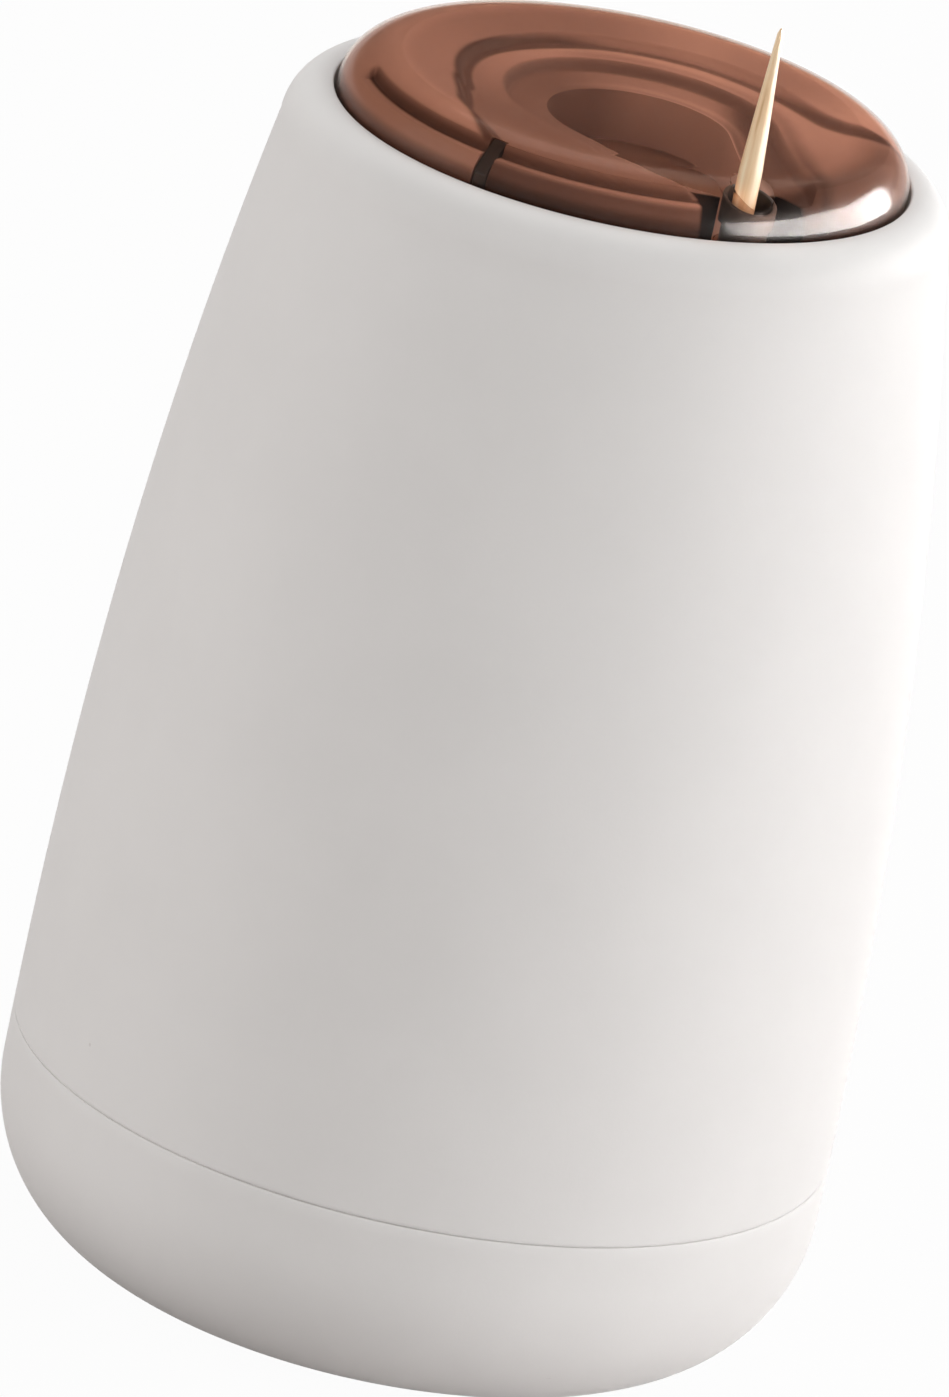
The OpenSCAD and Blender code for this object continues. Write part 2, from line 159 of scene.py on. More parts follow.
def soften(obj, sharp=35.0):
    """Smooth faces and sharp edges past an angle in degrees."""
    work = bmesh.new()
    work.from_mesh(obj.data)
    bmesh.ops.recalc_face_normals(work, faces=work.faces)
    limit = math.radians(sharp)
    for face in work.faces:
        face.smooth = True
    for edge in work.edges:
        edge.smooth = len(edge.link_faces) == 2 and edge.calc_face_angle(0) < limit
    work.to_mesh(obj.data)
    work.free()
    obj.data.update()


def loft(name, loops, closed=True, sharp=35.0):
    """Quads between one ring of points and the next. A closed loft joins its last ring to its first."""
    loops = [np.asarray(loop, float) for loop in loops]
    count = len(loops[0])
    verts = np.concatenate(loops)
    faces = []
    last = len(loops) if closed else len(loops) - 1
    for i in range(last):
        a, b = i * count, (i + 1) % len(loops) * count
        for k in range(count):
            n = (k + 1) % count
            faces.append((a + k, a + n, b + n, b + k))
    if not closed:
        faces.append(tuple(range(count))[::-1])
        faces.append(tuple(range(len(verts) - count, len(verts))))
    return add_mesh(name, verts, faces, sharp)


def rounded(points, radii, steps=6):
    """An outline whose corners are rounded. radii has one value a point, 0 for a sharp one."""
    made = []
    count = len(points)
    for i, (point, radius) in enumerate(zip(points, radii)):
        here = Vector(point)
        if radius <= 0:
            made.append(here)
            continue
        back, ahead = Vector(points[i - 1]) - here, Vector(points[(i + 1) % count]) - here
        angle = back.angle(ahead)
        reach = min(radius / math.tan(angle / 2), 0.49 * back.length, 0.49 * ahead.length)
        start, end = here + back.normalized() * reach, here + ahead.normalized() * reach
        for k in range(steps + 1):
            t = k / steps
            made.append((1 - t) ** 2 * start + 2 * t * (1 - t) * here + t ** 2 * end)
    return made


def revolve(name, outline, centre=(0, 0), segments=256, sharp=35.0, closed=True):
    """A solid of revolution from (radius, height) points. An open outline ends in two flat caps."""
    angles = np.arange(segments) * TAU / segments
    loops = [np.stack([centre[0] + r * np.cos(angles), centre[1] + r * np.sin(angles),
                       np.full(segments, z)], 1) for r, z in outline]
    return loft(name, loops, closed, sharp)


def spin_solid(name, profile, centre=(0, 0), segments=96):
    """A solid of revolution whose profile runs from its lowest ring up to its highest."""
    return revolve(name, profile, centre, segments, closed=False)


def cut(obj, tool, how="DIFFERENCE"):
    """Cuts or joins a tool, which is then removed."""
    modifier = obj.modifiers.new("cut", "BOOLEAN")
    modifier.operation = how
    modifier.solver = "EXACT"
    modifier.object = tool
    graph = bpy.context.evaluated_depsgraph_get()
    mesh = bpy.data.meshes.new_from_object(obj.evaluated_get(graph))
    obj.modifiers.clear()
    obj.data = mesh
    bpy.data.objects.remove(tool)
    soften(obj)


# Outlines

def crown(centre_r, centre_z, w, h, steps=16):
    """A quarter of an ellipse from its widest point up to its crown."""
    return [(centre_r + w * math.cos(t), centre_z + h * math.sin(t))
            for t in np.linspace(0, math.pi / 2, steps + 1)]


def side_r(z):
    top_r = MOUTH_R + RIM_FLAT + RIM_ROUND_W
    share = max(0.0, (z - CORNER_H) / (RIM_Z - RIM_ROUND_H - CORNER_H))
    return BODY_R - (BODY_R - top_r) * share ** SIDE_POWER


def out_r(z):
    if z < CORNER_H:
        return BODY_R - CORNER_W + CORNER_W * math.sqrt(1 - ((CORNER_H - z) / CORNER_H) ** 2)
    return side_r(z)


def in_r(z):
    if z < CORNER_H:
        depth = (CORNER_H - z) / (CORNER_H - BASE_Z - SHELL_WALL)
        return BODY_R - CORNER_W + (CORNER_W - SHELL_WALL) * math.sqrt(max(0.0, 1 - depth ** 2))
    return max(side_r(z) - SHELL_WALL, SLEEVE_R + SLEEVE_GAP)


def lid_height(x, y):
    """Height of the lid's outer surface over a point."""
    past = np.clip((np.hypot(x, y) - LID_FLAT_R) / LID_ROUND_W, 0, 1)
    return RIM_Z + LID_RISE * np.sqrt(1 - past ** 2)


# The chamber's outline, as rays from the middle of its round end

def ray_angles(count=420, near=140, near_reach=0.34):
    """Angles round the chamber, closer together near the funnel, and the funnel's own angle."""
    heading = math.atan2(HOLE.y - CHAMBER.y, HOLE.x - CHAMBER.x)
    even = np.linspace(0, TAU, count, endpoint=False)
    close = np.linspace(-near_reach, near_reach, near)
    both = np.unique(np.round(np.concatenate([even, close % TAU]), 6))
    return (both + heading) % TAU, heading


ANGLES, HEADING = ray_angles()


def ray_points(reach, z):
    """Points at a reach along each ray. z is one height or one a ray."""
    return np.stack([CHAMBER.x + reach * np.cos(ANGLES), CHAMBER.y + reach * np.sin(ANGLES),
                     np.broadcast_to(z, ANGLES.shape)], 1)


def ray_circle(radius):
    """Reach of each ray to a circle round the body's axis."""
    along = CHAMBER.x * np.cos(ANGLES) + CHAMBER.y * np.sin(ANGLES)
    return -along + np.sqrt(along ** 2 + radius ** 2 - CHAMBER.length_squared)


def ray_comma(big, small):
    """Reach of each ray to the outline round the chamber and its funnel."""
    reach = (HOLE - CHAMBER).length
    lean = math.acos((big - small) / reach)
    turn = np.abs((ANGLES - HEADING + math.pi) % TAU - math.pi)
    tip = math.atan2(small * math.sin(lean), reach + small * math.cos(lean))
    side = big / np.cos(np.clip(lean - turn, -1.5, 1.5))
    inside = np.maximum(small ** 2 - (reach * np.sin(turn)) ** 2, 0)
    nose = reach * np.cos(turn) + np.sqrt(inside)
    return np.where(turn >= lean, big, np.where(turn >= tip, side, nose))


def comma_distance(x, y, big, small):
    """Signed distance to that outline, below 0 inside it."""
    axis = np.array([HOLE.x - CHAMBER.x, HOLE.y - CHAMBER.y])
    reach = np.hypot(*axis)
    axis = axis / reach
    px, py = x - CHAMBER.x, y - CHAMBER.y
    along, off = px * axis[0] + py * axis[1], np.abs(py * axis[0] - px * axis[1])
    slope = (big - small) / reach
    rise = math.sqrt(1 - slope ** 2)
    k = along * rise - off * slope
    near = np.hypot(along, off) - big
    far = np.hypot(along - reach, off) - small
    side = along * slope + off * rise - big
    return np.where(k < 0, near, np.where(k > reach * rise, far, side))


def polygon_distance(x, y, points):
    """Signed distance to a closed outline, below 0 inside it."""
    points = np.asarray(points, float)
    best = np.full(np.shape(x), 1e9)
    inside = np.zeros(np.shape(x), bool)
    for a, b in zip(points, np.roll(points, -1, axis=0)):
        edge = b - a
        t = np.clip(((x - a[0]) * edge[0] + (y - a[1]) * edge[1]) / (edge @ edge), 0, 1)
        best = np.minimum(best, np.hypot(x - a[0] - t * edge[0], y - a[1] - t * edge[1]))
        crosses = (a[1] > y) != (b[1] > y)
        inside ^= crosses & (x < a[0] + edge[0] * (y - a[1]) / (edge[1] if edge[1] else 1e-12))
    return np.where(inside, -best, best)


def smooth_step(distance, width):
    """0 well inside, 1 well outside, turning over the width."""
    t = np.clip(distance / width + 0.5, 0, 1)
    return t * t * (3 - 2 * t)


def within(distance, width):
    """1 well inside, 0 well outside, turning over the width."""
    return 1 - smooth_step(distance, width)


def band(distance, width, soft):
    """1 in the middle of a band along a line, 0 beyond it."""
    return within(np.abs(distance) - width / 2, soft)


# Materials

def material(name, colour, roughness=0.5, **sockets):
    """A Principled material. Returns it with its node tree and its shader."""
    made = bpy.data.materials.new(name)
    made.use_nodes = True
    tree = made.node_tree
    shader = tree.nodes["Principled BSDF"]
    shader.inputs["Base Color"].default_value = (*colour, 1)
    shader.inputs["Roughness"].default_value = roughness
    for socket, value in sockets.items():
        shader.inputs[socket.replace("_", " ")].default_value = value
    return made, tree, shader


def noise(tree, scale, detail=3.0, stretch=(1, 1, 1), roughness=0.5):
    """Noise over the piece's own coordinates. scale is in cycles a metre."""
    place = tree.nodes.new("ShaderNodeTexCoord")
    mapping = tree.nodes.new("ShaderNodeMapping")
    mapping.inputs["Scale"].default_value = stretch
    texture = tree.nodes.new("ShaderNodeTexNoise")
    texture.inputs["Scale"].default_value = scale
    texture.inputs["Detail"].default_value = detail
    texture.inputs["Roughness"].default_value = roughness
    tree.links.new(place.outputs["Object"], mapping.inputs["Vector"])
    tree.links.new(mapping.outputs["Vector"], texture.inputs["Vector"])
    return texture.outputs["Fac"]


def ramp(tree, value, stops):
    """A colour ramp. stops are (place, colour)."""
    node = tree.nodes.new("ShaderNodeValToRGB")
    elements = node.color_ramp.elements
    while len(elements) < len(stops):
        elements.new(0.5)
    for element, (place, colour) in zip(elements, stops):
        element.position = place
        element.color = (*colour, 1)
    tree.links.new(value, node.inputs["Fac"])
    return node.outputs["Color"]


def spread(tree, value, low, high):
    """Maps noise's usual reach to a range."""
    node = tree.nodes.new("ShaderNodeMapRange")
    node.inputs["From Min"].default_value = 0.3
    node.inputs["From Max"].default_value = 0.7
    node.inputs["To Min"].default_value = low
    node.inputs["To Max"].default_value = high
    tree.links.new(value, node.inputs["Value"])
    return node.outputs["Result"]


def bump(tree, shader, value, strength, distance):
    node = tree.nodes.new("ShaderNodeBump")
    node.inputs["Strength"].default_value = strength
    node.inputs["Distance"].default_value = distance
    tree.links.new(value, node.inputs["Height"])
    previous = shader.inputs["Normal"]
    if previous.is_linked:
        tree.links.new(previous.links[0].from_socket, node.inputs["Normal"])
    tree.links.new(node.outputs["Normal"], previous)


def multiply(tree, first, second, factor=1.0):
    """One colour times another."""
    mix = tree.nodes.new("ShaderNodeMix")
    mix.data_type = "RGBA"
    mix.blend_type = "MULTIPLY"
    mix.inputs["Factor"].default_value = factor
    tree.links.new(first, mix.inputs["A"])
    tree.links.new(second, mix.inputs["B"])
    return mix.outputs["Result"]


def tint(colour, share):
    return tuple(min(1.0, c * share) for c in colour)


def grained(name, colour, roughness, vary=0.03, grain=2600, height=0.012 * MM, **sockets):
    """Moulded plastic or rubber: slow colour drift, a fine grain, and roughness that follows it."""
    made, tree, shader = material(name, colour, roughness, **sockets)
    drift = noise(tree, 45, 2)
    tree.links.new(ramp(tree, drift, [(0.3, tint(colour, 1 - vary)), (0.7, tint(colour, 1 + vary / 2))]),
                   shader.inputs["Base Color"])
    fine = noise(tree, grain, 4)
    tree.links.new(spread(tree, fine, roughness - 0.05, roughness + 0.05), shader.inputs["Roughness"])
    bump(tree, shader, fine, 0.35, height)
    return made


def white_shell(name):
    """Matte white lacquer: a fine even grain, faint clouding and a few specks."""
    white = (0.80, 0.785, 0.775)
    made, tree, shader = material(name, white, 0.5, Specular_IOR_Level=0.012)
    clouds = ramp(tree, noise(tree, 60, 4, roughness=0.6), [(0.35, tint(white, 0.975)), (0.65, white)])
    speck = ramp(tree, noise(tree, 700, 1), [(0.13, (0.7, 0.67, 0.65)), (0.16, (1, 1, 1))])
    tree.links.new(multiply(tree, clouds, speck, 0.5), shader.inputs["Base Color"])
    fine = noise(tree, 3200, 5)
    tree.links.new(spread(tree, fine, 0.46, 0.56), shader.inputs["Roughness"])
    bump(tree, shader, fine, 0.3, 0.02 * MM)
    bump(tree, shader, noise(tree, 420, 2), 0.12, 0.05 * MM)
    return made


def clear_brown(name, colour):
    """Clear brown plastic that hardly bends light. Shadow rays pass through it, tinted."""
    made, tree, shader = material(name, colour, 0.03, IOR=1.05, Coat_IOR=1.5)
    shader.inputs["Transmission Weight"].default_value = 1.0
    shader.inputs["Coat Weight"].default_value = 0.2
    haze = noise(tree, 350, 3)
    tree.links.new(spread(tree, haze, 0.02, 0.06), shader.inputs["Roughness"])
    tree.links.new(spread(tree, haze, 0.16, 0.24), shader.inputs["Coat Roughness"])
    bump(tree, shader, noise(tree, 120, 2), 0.1, 0.04 * MM)
    clear = tree.nodes.new("ShaderNodeBsdfTransparent")
    clear.inputs["Color"].default_value = (*[math.sqrt(c) for c in colour], 1)
    path = tree.nodes.new("ShaderNodeLightPath")
    mix = tree.nodes.new("ShaderNodeMixShader")
    tree.links.new(path.outputs["Is Shadow Ray"], mix.inputs["Fac"])
    tree.links.new(shader.outputs["BSDF"], mix.inputs[1])
    tree.links.new(clear.outputs["BSDF"], mix.inputs[2])
    tree.links.new(mix.outputs["Shader"], tree.nodes["Material Output"].inputs["Surface"])
    return made


def bamboo(name):
    """Pale bamboo: straight fibres along the pick."""
    pale, dark = (0.86, 0.61, 0.37), (0.6, 0.34, 0.16)
    made, tree, shader = material(name, pale, 0.5, Specular_IOR_Level=0.4)
    fibres = noise(tree, 2600, 4, stretch=(1, 1, 0.025))
    broad = noise(tree, 700, 2, stretch=(1, 1, 0.05))
    mix = tree.nodes.new("ShaderNodeMix")
    mix.inputs["Factor"].default_value = 0.45
    tree.links.new(fibres, mix.inputs["A"])
    tree.links.new(broad, mix.inputs["B"])
    value = mix.outputs["Result"]
    tree.links.new(ramp(tree, value, [(0.32, dark), (0.5, pale), (0.72, (0.95, 0.82, 0.6))]),
                   shader.inputs["Base Color"])
    tree.links.new(spread(tree, fibres, 0.26, 0.38), shader.inputs["Roughness"])
    bump(tree, shader, fibres, 0.4, 0.03 * MM)
    return made


def metal(name, colour, roughness, stretch=(1, 1, 1)):
    """Bright metal with drawn or turned marks."""
    made, tree, shader = material(name, colour, roughness, Metallic=1.0)
    marks = noise(tree, 1800, 3, stretch=stretch)
    tree.links.new(spread(tree, marks, roughness - 0.07, roughness + 0.1), shader.inputs["Roughness"])
    bump(tree, shader, marks, 0.2, 0.01 * MM)
    return made


def add_painted_shading(look, painted_shading):
    """Multiplies a material's colour by the painted light and shade stored on the piece's points."""
    tree = look.node_tree
    values = tree.nodes.new("ShaderNodeVertexColor")
    values.layer_name = painted_shading
    socket = tree.nodes["Principled BSDF"].inputs["Base Color"]
    tree.links.new(multiply(tree, socket.links[0].from_socket, values.outputs["Color"]), socket)
    return look


SHELL_WHITE = white_shell("shell_white")
BASE_WHITE = white_shell("base_white")
LID_BROWN = clear_brown("lid_clear_brown", (0.72, 0.56, 0.485))
FLOOR_BROWN = grained("floor_brown", (0.36, 0.245, 0.2), 0.6, 0.05, 1500)
PLATE_BROWN = add_painted_shading(grained("plate_brown", (0.415, 0.285, 0.238), 0.6, 0.05, 1500,
                                  Specular_IOR_Level=0.03), "painted_shading")
# The barrel's brown is paler than the insert's, as painted light for its deep, shaded chamber.
BARREL_BROWN = add_painted_shading(grained("barrel_brown", (0.7, 0.52, 0.43), 0.6, 0.06, 1500,
                                   Specular_IOR_Level=0.05), "painted_shading")
SOFT_BLACK = grained("soft_black", (0.022, 0.018, 0.016), 0.45, 0.1, 2200)
FOOT_RUBBER = grained("foot_rubber", (0.05, 0.05, 0.05), 0.7, 0.1, 1800, 0.03 * MM)
SLEEVE_PLASTIC = grained("sleeve_plastic", (0.66, 0.64, 0.61), 0.4)
SPRING_STEEL = metal("spring_steel", (0.62, 0.62, 0.63), 0.28, (1, 1, 0.2))
PLAIN_STEEL = metal("plain_steel", (0.66, 0.66, 0.67), 0.32)
BAMBOO = bamboo("bamboo")


def dress(obj, look, body, slot, *nodes):
    """Gives a piece its finish, its body and the CAD nodes that it stands for. slot is not used."""
    obj.data.materials.clear()
    obj.data.materials.append(look)
    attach(obj, body)
    if nodes:
        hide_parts(*nodes)
    return obj


def keep_node(name, look, sharp=30.0):
    """A CAD node that stays, with a better finish. Its corners are left sharp."""
    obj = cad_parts[name]
    obj.data.materials.clear()
    obj.data.materials.append(look)
    obj.data.shade_smooth()
    modifier = obj.modifiers.new("corners", "EDGE_SPLIT")
    modifier.split_angle = math.radians(sharp)


# Outer pieces

def make_shell():
    heights = np.linspace(SEAM_Z + SEAM_EDGE * 2, RIM_Z - RIM_ROUND_H, 48)
    seam_r = out_r(SEAM_Z)
    edge = [(seam_r - SEAM_EDGE, SEAM_Z), (seam_r - SEAM_EDGE * EDGE_BEND, SEAM_Z + SEAM_EDGE * EDGE_BEND),
            (seam_r, SEAM_Z + SEAM_EDGE)]
    outside = [(out_r(z), z) for z in heights]
    top = crown(MOUTH_R + RIM_FLAT, RIM_Z - RIM_ROUND_H, RIM_ROUND_W, RIM_ROUND_H)[1:]
    lip = [(MOUTH_R + LIP * (1 - math.sin(t)), RIM_Z - LIP * (1 - math.cos(t)))
           for t in np.linspace(0, math.pi / 2, 5)]
    inside = [(in_r(z), z) for z in np.linspace(MOUTH_UNDER, SEAM_Z, 24)]
    outline = edge + outside + top + lip + [(MOUTH_R, MOUTH_UNDER)] + inside
    shell = revolve("shell_skin", outline)
    return dress(shell, SHELL_WHITE, "case", "shell_white", "body_shell")


def make_base():
    seam_r = out_r(SEAM_Z)
    spigot_r = in_r(SEAM_Z + SPIGOT_H) - SPIGOT_GAP
    floor_z = BASE_Z + BASE_FLOOR
    rise = SEAM_Z - SEAM_EDGE - BASE_Z
    outside = [(out_r(z), z) for z in BASE_Z + rise * np.linspace(0, 1, 33) ** 1.6]
    edge = [(seam_r - SEAM_EDGE * EDGE_BEND, SEAM_Z - SEAM_EDGE * EDGE_BEND), (seam_r - SEAM_EDGE, SEAM_Z)]
    spigot = [(spigot_r, SEAM_Z), (spigot_r, SEAM_Z + SPIGOT_H),
              (spigot_r - SPIGOT_WALL, SEAM_Z + SPIGOT_H), (spigot_r - SPIGOT_WALL, CORNER_H)]
    bowl = [(min(in_r(z), spigot_r - SPIGOT_WALL), z) for z in np.linspace(CORNER_H, floor_z, 12)[1:]]
    groove_gap, groove_z = 0.05 * MM, BASE_Z + 1 * MM
    groove_in, groove_out = FOOT_RING[0] - groove_gap, FOOT_RING[1] + groove_gap
    groove = [(groove_in, BASE_Z), (groove_in, groove_z), (groove_out, groove_z), (groove_out, BASE_Z)]
    outline = [(AXIS_R, BASE_Z)] + groove + outside + edge + spigot + bowl + [(AXIS_R, floor_z)]
    base = revolve("base_skin", outline, closed=False)
    return dress(base, BASE_WHITE, "case", "base_white", "base_cap")


def make_foot():
    inner, outer = FOOT_RING
    top = FOOT_HIGH.z
    edge = 0.45 * MM
    groove = 0.35 * MM
    middle = (inner + outer) / 2
    points = [(inner, top), (inner, 0), (middle - 2 * groove, 0), (middle - groove, groove),
              (middle + groove, groove), (middle + 2 * groove, 0), (outer, 0), (outer, top)]
    outline = rounded(points, [0, edge, 0, 0, 0, 0, edge, 0])
    ring = revolve("foot_ring_skin", outline, sharp=50)
    return dress(ring, FOOT_RUBBER, "case", "foot_rubber", "foot_ring")


# Lid and bush

def make_lid():
    inner_r = LID_R - LID_WALL
    edge = 0.2 * MM
    dome = crown(LID_FLAT_R, RIM_Z, LID_ROUND_W, LID_RISE, 32)
    under = crown(LID_FLAT_R, RIM_Z, LID_ROUND_W - LID_WALL, LID_RISE - LID_WALL, 32)[::-1]
    radii = np.linspace(AXIS_R, LID_FLAT_R, 15)[:-1]
    bottom = [(r, LID_TOP - LID_WALL) for r in radii]
    top = [(r, LID_TOP) for r in radii[::-1]]
    skirt = [(inner_r, LID_SEAT + edge), (inner_r + edge, LID_SEAT), (LID_R - edge, LID_SEAT),
             (LID_R, LID_SEAT + edge)]
    lid = revolve("lid_dome", bottom + under + skirt + dome + top, segments=320, closed=False)
    boss = spin_solid("boss", [(BOSS_R, BUSH_LOW.z), (BOSS_R, PLATE_LOW)], HOLE[:2], 64)
    inside = spin_solid("inside", [(inner_r + edge, BUSH_LOW.z - MM), (inner_r + edge, LID_TOP)])
    cut(boss, inside, "INTERSECT")
    cut(lid, boss, "UNION")
    cut(lid, spin_solid("shaft", [(SHAFT_R, LID_SEAT - MM), (SHAFT_R, PLATE_LOW + MM)], HOLE[:2]))
    middle = HOLE + HOLE.normalized() * OPENING_OUTWARD + Vector((OPENING_ASIDE, 0, 0))
    cut(lid, spin_solid("opening", [(OPENING_R, COLLAR_Z), (OPENING_R, LID_TOP + MM)], middle[:2]))
    return dress(lid, LID_BROWN, "lid", "lid_clear_brown", "press_lid")


def make_bush():
    """The black lining. Its collar follows the lid's surface, a little below it."""
    segments = 96
    angles = np.arange(segments) * TAU / segments
    x, y = np.cos(angles), np.sin(angles)
    bore, shaft = PICK_R - PICK_SHIFT + 0.02 * MM, SHAFT_R - 0.04 * MM
    under_lid = 0.15 * MM
    throat, throat_z, throat_rise = COLLAR_R - 0.4 * MM, COLLAR_Z - 0.4 * MM, 0.2 * MM
    outward = np.array(HOLE[:2]) / HOLE.length

    def ring(radius, z):
        return np.stack([HOLE.x + radius * x, HOLE.y + radius * y, np.broadcast_to(z, x.shape)], 1)

    def top(radius, sunk):
        plane = RIM_Z + COLLAR_TOP - COLLAR_SLOPE * radius * (x * outward[0] + y * outward[1])
        surface = lid_height(HOLE.x + radius * x, HOLE.y + radius * y)
        return ring(radius, np.minimum(plane, surface - LID_WALL - under_lid) - sunk)

    loops = [ring(bore, BUSH_LOW.z), ring(shaft, BUSH_LOW.z), ring(shaft, COLLAR_Z), ring(COLLAR_R, COLLAR_Z)]
    loops += [top(COLLAR_R - inward * MM, sunk * MM)
              for inward, sunk in ((0, 0.12), (0.08, 0.03), (0.2, 0), (0.32, 0.06))]
    loops += [ring(bore + (throat - bore) * t ** 1.5, throat_z + throat_rise * t)
              for t in (1.0, 0.7, 0.4, 0.15, 0.0)]
    bush = loft("bush_lining", loops)
    return dress(bush, SOFT_BLACK, "lid", "soft_black", "outlet_bush")


# Pieces seen through the lid

def field_distance(x, y):
    """Signed distance to the edge of the horseshoe terrace, below 0 in the lower field."""
    circle = np.hypot(x - CHAMBER.x, y - CHAMBER.y) - TERRACE_R
    wave = [(0.46, 0.4), (0.56, 0.31), (0.66, 0.215), (0.76, 0.14), (0.93, 0.07), (1.14, 0.04)]
    around = [(1.14, -1.08), (-0.34, -1.08), (-0.42, -0.86), (-0.56, -0.46)]
    points = [(CHAMBER.x - 0.97 * TERRACE_R, -0.3 * TERRACE_R), (CHAMBER.x, 0)]
    points += [(a * PLATE_R, b * PLATE_R) for a, b in wave + around]
    straight = polygon_distance(x, y, points)
    blend = 1.6 * MM
    h = np.clip(0.5 + 0.5 * (straight - circle) / blend, 0, 1)
    return straight * (1 - h) + circle * h - blend * h * (1 - h)


def over_ledge(x, y, width):
    """1 on the ledge round the front of the insert, 0 off it."""
    angle = np.degrees(np.arctan2(y, x)) % 360
    soft = 1.5
    along = smooth_step(angle - LEDGE_FROM - soft / 2, soft) * smooth_step(LEDGE_TO + 1 - angle, soft)
    return smooth_step(np.hypot(x, y) - LEDGE_R, width) * along


def by_pocket(x, y):
    """1 on and round the pocket left of the hole, 0 away from it."""
    angle = np.degrees(np.arctan2(y, x)) % 360
    soft = 0.8
    along = smooth_step(angle - LEDGE_TO + soft / 2, soft) * smooth_step(POCKET_TO + 0.6 - angle, soft)
    return along * smooth_step(np.hypot(x, y) - HOLE.length + POCKET_IN + 0.4 * MM, 0.6 * MM)


def level_shade(x, y, field, back):
    """How pale each level and each wall of the insert is painted: painted shade in dark lines along the walls,
    inside the ring, in the well and down the funnel's slope, and a painted highlight along the ridge by the
    well.
    """
    ring = comma_distance(x, y, RING_R, FUNNEL_R)
    well = comma_distance(x, y, WELL_R, POCKET_R)
    side = (x - CHAMBER.x) * math.sin(HEADING) - (y - CHAMBER.y) * math.cos(HEADING)
    front, left = smooth_step(-side, 8 * MM), smooth_step(-x - 5 * MM, 8 * MM)
    shade = 1 - within(field, MM) * (FIELD_LOSS + FIELD_LOSS_FRONT * smooth_step(-y, 20 * MM))
    goal = RING_SHARE + RING_GAIN_FRONT * front - RING_LOSS_RIGHT * smooth_step(x - 8 * MM, 3 * MM)
    shade += within(ring, MM) * (goal - shade)
    shade += within(well, 1.6 * MM) * (WELL_SHARE - shade)
    goal = WELL_WALL_SHARE - WELL_WALL_LOSS_LEFT * smooth_step(CHAMBER.x - 2 * MM - x, 4 * MM)
    shade += within(well - 0.06 * MM, 0.06 * MM) * (goal - shade)
    line = band(field + (0.2 + 0.5 * back) * MM, (0.95 + 0.75 * left) * MM, 0.6 * MM)
    shade = np.minimum(shade, 1 - (FIELD_LINE_LOSS + FIELD_LINE_LOSS_LEFT * left) * line)
    shade += RIDGE_GAIN * front * band(well - 0.8 * MM, 0.4 * MM, 0.9 * MM)
    shade -= SLOPE_LOSS * front * band(ring - MM, 1.5 * MM, 1.6 * MM) * within(field + 0.5 * MM, MM)
    line = band(ring + 0.1 * MM, 1.2 * MM, 1.1 * MM)
    return np.minimum(shade, 1 - (RING_LINE_LOSS + RING_LINE_LOSS_SIDE * (front + left)) * line)


def painted_side_light(x, y, field, back):
    """Painted light and shade by side: how much paler or darker each side of the insert is painted, as light
    falls on it, with its outer edge even.
    """
    inside = within(field, MM)
    right = smooth_step(x - 8 * MM, 9 * MM) * smooth_step(2 * MM - y, 8 * MM)
    far_right = smooth_step(x - 8 * MM, 6 * MM)
    share = 1 + IN_FIELD_GAIN * inside + RIGHT_GAIN * right
    share -= back * (BACK_LOSS + BACK_LOSS_RIGHT * far_right - BACK_GAIN_IN_FIELD * inside)
    share *= 1 - (LEFT_LOSS - LEFT_GAIN_IN_FIELD * inside) * smooth_step(-x, 11 * MM)
    outer = smooth_step(np.hypot(x, y) - 19 * MM, 3.5 * MM)
    return share + (1 - OUTER_LOSS_RIGHT * right - share) * outer


def ledge_shade(x, y, shade):
    """The ledge's painted light over the shares of the levels, painted shade on its panel and foot, and a dark
    line of painted shade along its wall.
    """
    past = np.hypot(x, y) - LEDGE_R
    across = CATCH_ANGLE + math.pi / 2
    panel = smooth_step(x * math.cos(across) + y * math.sin(across), MM)
    foot = (LEDGE_FOOT_LOSS + PANEL_FOOT_LOSS * panel) * smooth_step(past - 1.2 * MM, 0.4 * MM)
    shade = shade + over_ledge(x, y, LEDGE_EDGE) * (LEDGE_SHARE - PANEL_LOSS * panel - foot - shade)
    line = band(past - 0.15 * MM, 0.6 * MM, 0.4 * MM) * np.clip(2 * over_ledge(x, y, 3 * MM), 0, 1)
    return np.minimum(shade, 1 - LEDGE_LINE_LOSS * line)


def plate_shade(x, y):
    """How pale each point of the insert is painted, as colour shares of painted light and shade."""
    field = field_distance(x, y)
    back = smooth_step(y - 8 * MM, 8 * MM)
    shade = ledge_shade(x, y, level_shade(x, y, field, back) * painted_side_light(x, y, field, back))
    # Painted shade along the outer edge, at the gap round the lid, and in the pocket beside the hole.
    shade *= 1 - EDGE_LOSS * smooth_step(np.hypot(x, y) - PLATE_R + 0.12 * MM, 0.3 * MM)
    shade *= 1 - POCKET_LOSS * by_pocket(x, y)
    return np.stack([shade, shade ** 1.08, shade ** 1.12], -1)


def paint(obj, name, shade):
    """Stores painted light and shade, as colour shares, on a mesh's points."""
    points = np.empty(len(obj.data.vertices) * 3)
    obj.data.vertices.foreach_get("co", points)
    points = points.reshape(-1, 3)
    values = np.ones((len(points), 4))
    values[:, :3] = shade(points[:, 0], points[:, 1])
    layer = obj.data.color_attributes.new(name, "FLOAT_COLOR", "POINT")
    layer.data.foreach_set("color", values.ravel())


